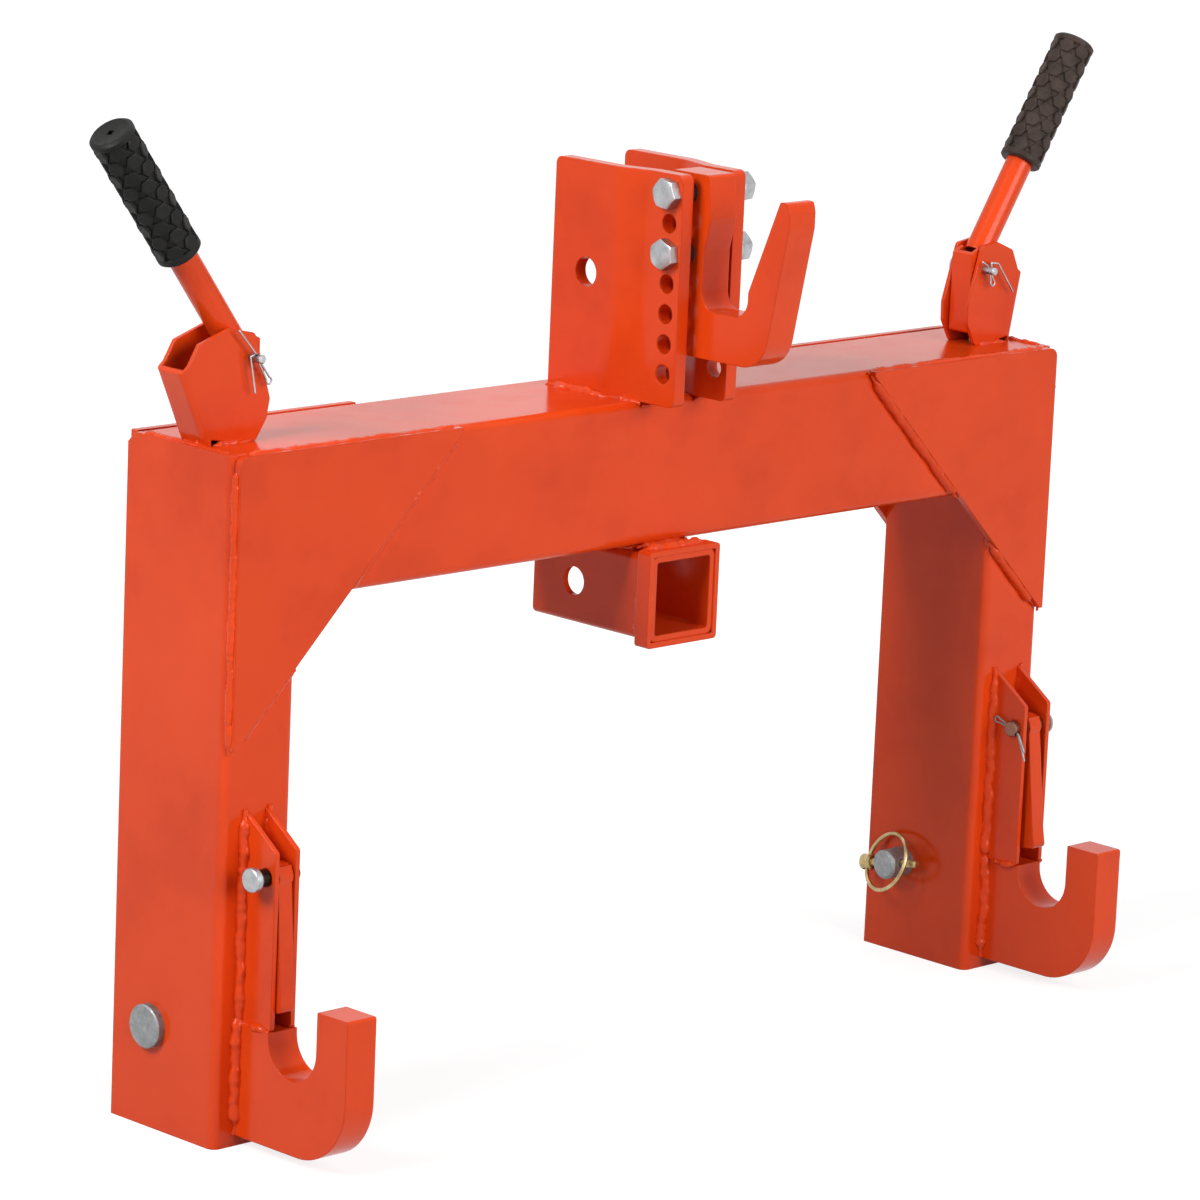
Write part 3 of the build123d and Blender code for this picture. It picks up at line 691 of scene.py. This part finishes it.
def hexBlank(name, flats, height, crown):
    selectNone()
    bpy.ops.mesh.primitive_cylinder_add(vertices=6, radius=flats / math.sqrt(3) * mm, depth=height * mm)
    blank = bpy.context.active_object
    blank.name = name
    seat(blank, Matrix.Translation((0, 0, height / 2 * mm)))
    edge = flats / math.sqrt(3)
    rim = flats / 2 - 0.3
    profile = [(0.01, -0.01), (edge + 0.2 if crown == "top" else rim, -0.01)]
    if crown == "both":
        profile.append((edge + 0.2, 1.0))
    profile += [(edge + 0.2, height - 1.0), (rim, height + 0.01), (0.01, height + 0.01)]
    cone = turnedPiece("hexChamfer", profile, 48)
    cut = blank.modifiers.new("chamfer", "BOOLEAN")
    cut.operation = "INTERSECT"
    cut.solver = "EXACT"
    cut.object = cone
    applyAll(blank)
    scrap(cone)
    return blank


def threadedRod(b, start, end):
    r = b["shank"] / 2
    turns = round((end - start) / b["pitch"])
    profile = [(0.01, start), (r - 0.3, start)]
    for i in range(turns):
        low = start + i * b["pitch"]
        profile += [(r - 0.95, low + 0.25), (r - 0.02, low + 0.9), (r - 0.02, low + 1.15)]
    profile += [(r - 1.1, start + turns * b["pitch"]), (0.01, start + turns * b["pitch"])]
    return turnedPiece("boltThread", profile, 32)


heads = []
nuts = []
for height, roll in zip(bolt["heights"], bolt["rolls"]):
    head = hexBlank("boltHead", bolt["flats"], bolt["head"], "top")
    place = Vector((bolt["headSeat"], bolt["y"] + legFront, height)) * mm
    seat(head, facing(place, (-1, 0, 0), roll))
    plain = bolt["plain"]
    shank = turnedPiece("boltShank", [(0.01, -0.5), (5.95, -0.5), (5.95, plain), (0.01, plain)], 32)
    seat(shank, facing(place, (1, 0, 0)))
    thread = threadedRod(bolt, plain - 0.5, bolt["end"] - bolt["headSeat"])
    seat(thread, facing(place, (1, 0, 0)))
    heads += [head, shank, thread]
    nut = hexBlank("boltNut", bolt["flats"], bolt["nut"], "both")
    hole = [(0.01, -1), (6.6, -1), (5.98, 0.7), (5.98, 9.3), (6.6, 11), (0.01, 11)]
    bore = turnedPiece("nutBore", hole, 32)
    cut = nut.modifiers.new("bore", "BOOLEAN")
    cut.operation = "DIFFERENCE"
    cut.solver = "EXACT"
    cut.object = bore
    applyAll(nut)
    scrap(bore)
    nutPlace = Vector((bolt["nutSeat"], bolt["y"] + legFront, height)) * mm
    seat(nut, facing(nutPlace, (1, 0, 0), bolt["nutRoll"]))
    nuts.append(nut)
hookBolts = joined("top_hook_bolt_set", heads)
hookNuts = joined("top_hook_nut_set", nuts)
for piece, node in ((hookBolts, "top_hook_bolts"), (hookNuts, "top_hook_nuts")):
    smooth(piece, 28)
    setPiece(piece, "frame", "zinc_steel", finishes["zinc_steel"], node)
print("bolts and nuts done")

# split pins: one wire each, with an eye and two spread legs, as (along, across) points in mm
splitWire = {"radius": 0.75, "eye": 2.3, "half": 0.7}
leverSplits = {
    "left": {
        "toEye": (0.55, -0.83), "stem": 16.5,
        "first": [(-26, -2.9), (-5, 0.2)], "second": [(-4.2, -1.4), (-4.8, -4.2), (19, -14)],
    },
    "right": {
        "toEye": (0.34, -0.94), "stem": 7.5,
        "first": [(26, 19), (-1.5, 9.7), (-5.2, 3)], "second": [(-4.4, -1.2), (-10, -6)],
    },
}
latchSplits = {
    "left": {
        "toEye": (-0.208, 0.978), "end": -354.2, "stem": 7,
        "first": [(-15, -5), (-7, -1)], "second": [(-7, -0.8), (-15, 4)],
    },
    "right": {
        "toEye": (0.96, 0.27), "end": 350.2, "stem": 13,
        "first": [(-19.6, -17.9), (-7, -2)], "second": [(-7, -1.2), (-17, -12)],
    },
}
leverSplitY = 28
latchPivot = (-22.5, 188.3)


def splitPath(row, w):
    middle = row["stem"] + w["eye"]
    eye = []
    for step in range(9):
        angle = math.radians(-140 + step * 35)
        eye.append((middle + w["eye"] * math.cos(angle), -w["eye"] * math.sin(angle)))
    return row["first"] + [(4, w["half"])] + eye + [(4, -w["half"])] + row["second"]


def splitPins(name, rows, place, finish, replaced):
    wires = []
    for side, row in rows.items():
        points = [place(side, row, along, across) for along, across in splitPath(row, splitWire)]
        wires.append(bentWire(side + "SplitPin", points, splitWire["radius"]))
    whole = joined(name, wires)
    setPiece(whole, "frame", "zinc_steel", finish, replaced)


def onLeverPin(side, row, along, across):
    a, b = row["toEye"]
    x = levers[side]["sign"] * leverPin[0] + along * a - across * b
    return (x, leverSplitY + legFront, leverPin[2] + along * b + across * a)


def onLatchPin(side, row, along, across):
    a, b = row["toEye"]
    y = latchPivot[0] + legFront + along * a - across * b
    return (row["end"], y, latchPivot[1] + along * b + across * a)


splitPins("lever_split_wires", leverSplits, onLeverPin, finishes["zinc_steel"], "lever_split_pins")
splitPins("latch_split_wires", latchSplits, onLatchPin, forgedFinish, "latch_split_pins")
print("split pins done")

# return springs on the pull rods
spring = {
    "x": 378, "y": 47, "low": 386.4, "high": 460, "coil": 8.5, "wire": 2.0,
    "turns": 10, "steps": 28, "keep": 0.826,
}


def coilSpring(name, s):
    selectNone()
    bpy.ops.mesh.primitive_circle_add(
        vertices=10,
        radius=s["wire"] / 2 * mm,
        location=(s["coil"] * mm, 0, 0),
        rotation=(math.pi / 2, 0, 0),
    )
    coil = bpy.context.active_object
    coil.name = name
    bpy.ops.object.transform_apply(location=True, rotation=True, scale=True)
    wind = coil.modifiers.new("wind", "SCREW")
    wind.axis = "Z"
    wind.angle = math.tau
    wind.screw_offset = (s["high"] - s["low"]) / s["turns"] * mm
    wind.iterations = s["turns"]
    wind.steps = s["steps"]
    wind.render_steps = s["steps"]
    wind.use_merge_vertices = False
    applyAll(coil)
    outward(coil)
    edit(coil)
    bpy.ops.mesh.select_all(action="SELECT")
    bpy.ops.mesh.fill_holes(sides=0)
    bpy.ops.mesh.normals_make_consistent(inside=False)
    done()
    return coil


for side, lever in levers.items():
    coil = coilSpring(side + "_spring_coil", spring)
    place = Vector((lever["sign"] * spring["x"], spring["y"] + legFront, spring["low"])) * mm
    seat(coil, Matrix.Translation(place))
    smooth(coil, 50)
    setPiece(coil, side + "_rod", "zinc_steel", finishes["zinc_steel"], side + "_return_spring")
    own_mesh(coil)
print("springs done")

# floor, light and camera
studio = {
    "floor": 60, "world": 0.10, "left": 110, "front": 115, "top": 30,
    "pale": 0.5, "shade": 0.30, "near": 0.82, "fade": (0.7, 1.6),
}


def lightPath(tree):
    path = tree.nodes.new("ShaderNodeLightPath")
    first = addNode(tree, "ShaderNodeMath", operation="MAXIMUM")
    second = addNode(tree, "ShaderNodeMath", operation="MAXIMUM")
    tree.links.new(path.outputs["Is Camera Ray"], first.inputs[0])
    tree.links.new(path.outputs["Is Glossy Ray"], first.inputs[1])
    tree.links.new(first.outputs[0], second.inputs[0])
    tree.links.new(path.outputs["Is Transmission Ray"], second.inputs[1])
    return second.outputs[0]


def whiteFloor():
    selectNone()
    bpy.ops.mesh.primitive_plane_add(size=studio["floor"])
    floor = bpy.context.active_object
    floor.name = "studioFloor"
    material = bpy.data.materials.new("paleFloor")
    material.use_nodes = True
    tree = material.node_tree
    tree.nodes.remove(tree.nodes["Principled BSDF"])
    plain = addNode(tree, "ShaderNodeBsdfDiffuse", Color=(studio["pale"],) * 3 + (1,))
    shade = addNode(tree, "ShaderNodeBsdfDiffuse", Color=(studio["shade"],) * 3 + (1,))
    glow = addNode(tree, "ShaderNodeEmission", Color=(1, 1, 1, 1))
    place = tree.nodes.new("ShaderNodeTexCoord")
    away = addNode(tree, "ShaderNodeVectorMath", operation="LENGTH")
    fade = tree.nodes.new("ShaderNodeMapRange")
    fade.inputs["From Min"].default_value, fade.inputs["From Max"].default_value = studio["fade"]
    fade.inputs["To Min"].default_value, fade.inputs["To Max"].default_value = studio["near"], 1.0
    tree.links.new(place.outputs["Object"], away.inputs[0])
    tree.links.new(away.outputs["Value"], fade.inputs["Value"])
    tree.links.new(fade.outputs["Result"], glow.inputs["Strength"])
    seen = tree.nodes.new("ShaderNodeAddShader")
    both = tree.nodes.new("ShaderNodeMixShader")
    tree.links.new(shade.outputs[0], seen.inputs[0])
    tree.links.new(glow.outputs[0], seen.inputs[1])
    tree.links.new(lightPath(tree), both.inputs[0])
    tree.links.new(plain.outputs[0], both.inputs[1])
    tree.links.new(seen.outputs[0], both.inputs[2])
    tree.links.new(both.outputs[0], tree.nodes["Material Output"].inputs["Surface"])
    floor.data.materials.append(material)


def whiteWorld():
    world = bpy.data.worlds.new("studioWorld")
    bpy.context.scene.world = world
    world.use_nodes = True
    tree = world.node_tree
    soft = tree.nodes["Background"]
    soft.inputs["Color"].default_value = (1, 1, 1, 1)
    soft.inputs["Strength"].default_value = studio["world"]
    white = addNode(tree, "ShaderNodeBackground", Color=(1, 1, 1, 1), Strength=1.0)
    both = tree.nodes.new("ShaderNodeMixShader")
    tree.links.new(lightPath(tree), both.inputs[0])
    tree.links.new(soft.outputs[0], both.inputs[1])
    tree.links.new(white.outputs[0], both.inputs[2])
    tree.links.new(both.outputs[0], tree.nodes["World Output"].inputs["Surface"])


def softLight(name, place, target, size, power):
    lamp = bpy.data.lights.new(name, "AREA")
    lamp.shape = "RECTANGLE"
    lamp.size, lamp.size_y = size
    lamp.energy = power
    holder = bpy.data.objects.new(name, lamp)
    bpy.context.scene.collection.objects.link(holder)
    aim = Vector(target) - Vector(place)
    holder.location = place
    holder.rotation_euler = aim.to_track_quat("-Z", "Y").to_euler()


whiteFloor()
whiteWorld()
softLight("leftSoftbox", (-3.0, 0.1, 2.5), (0, 0, 0.35), (1.5, 1.5), studio["left"])
softLight("frontSoftbox", (0.3, -3.6, 1.6), (0, 0, 0.35), (2.6, 2.0), studio["front"])
softLight("topSoftbox", (0.2, 0.6, 3.4), (0, 0, 0.4), (2.4, 2.4), studio["top"])

view = {
    "place": (-2.857236, -2.818637 + legFront * mm, 1.192225),
    "right": (0.715601, -0.697226, 0.042324),
    "down": (-0.118463, -0.180852, -0.976350),
    "ahead": (0.688391, 0.693663, -0.212013),
    "lens": 177.785,
}


def photoCamera(v):
    data = bpy.data.cameras.new("photoCamera")
    data.sensor_width = 36
    data.lens = v["lens"]
    data.clip_end = 200
    camera = bpy.data.objects.new("photoCamera", data)
    bpy.context.scene.collection.objects.link(camera)
    axes = (Vector(v["right"]), -Vector(v["down"]), -Vector(v["ahead"]))
    turn = Matrix([[axis[row] for axis in axes] for row in range(3)]).to_4x4()
    camera.matrix_world = Matrix.Translation(v["place"]) @ turn
    bpy.context.scene.camera = camera


photoCamera(view)
bpy.context.scene.view_settings.view_transform = "Standard"
print("studio and camera set")

selectNone()
